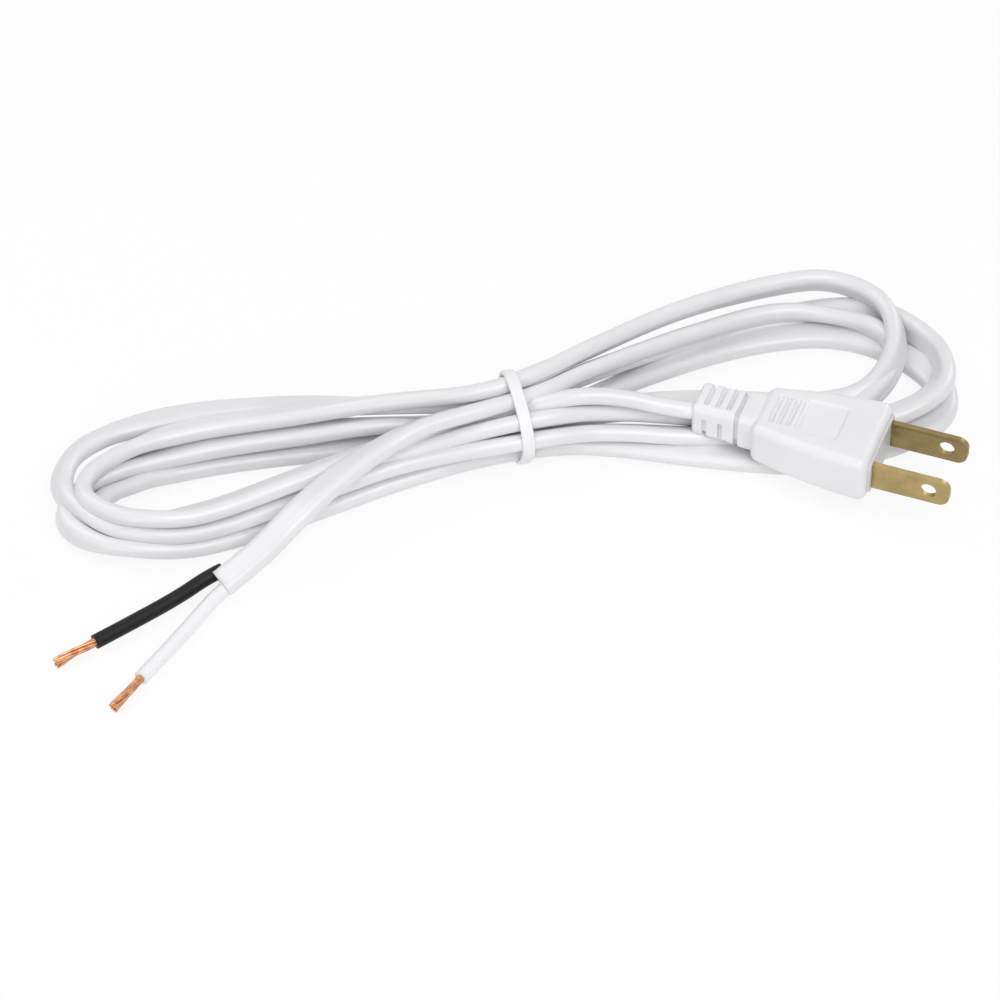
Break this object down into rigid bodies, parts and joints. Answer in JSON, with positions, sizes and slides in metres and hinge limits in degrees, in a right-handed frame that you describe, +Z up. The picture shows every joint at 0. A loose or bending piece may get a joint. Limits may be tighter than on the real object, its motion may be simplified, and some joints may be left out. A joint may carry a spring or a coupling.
{
  "type": "led strip power cord",
  "caption": "White flat two-core power cord in a tied hank, with a moulded two-blade mains plug at one end and two stripped cores at the other.",
  "frame": {"origin": "centre of the whole cord's box, on the surface it lies on", "axes": "+X along the hank, from the stripped ends to the plug; +Z up"},
  "size_m": [0.1893, 0.0852, 0.0176],
  "materials": {
    "white_pvc": "soft gloss",
    "bridge_plastic": "satin",
    "band": "matt",
    "blade_brass": "satin",
    "copper": "bright copper strands",
    "black_insulation": "satin",
    "white_insulation": "satin"
  },
  "bodies": {
    "root": {"plug_body": "white_pvc", "blade_bridge": "bridge_plastic", "line_blade": "blade_brass", "neutral_blade": "blade_brass", "plug_core_black": "black_insulation", "plug_core_white": "white_insulation", "plug_copper_black": "copper", "plug_copper_white": "copper", "plug_lead": "white_pvc", "cord_hank": "white_pvc", "tie_band": "band", "free_lead": "white_pvc", "black_core": "black_insulation", "white_core": "white_insulation", "black_copper": "copper", "white_copper": "copper"}
  },
  "joints": []
}
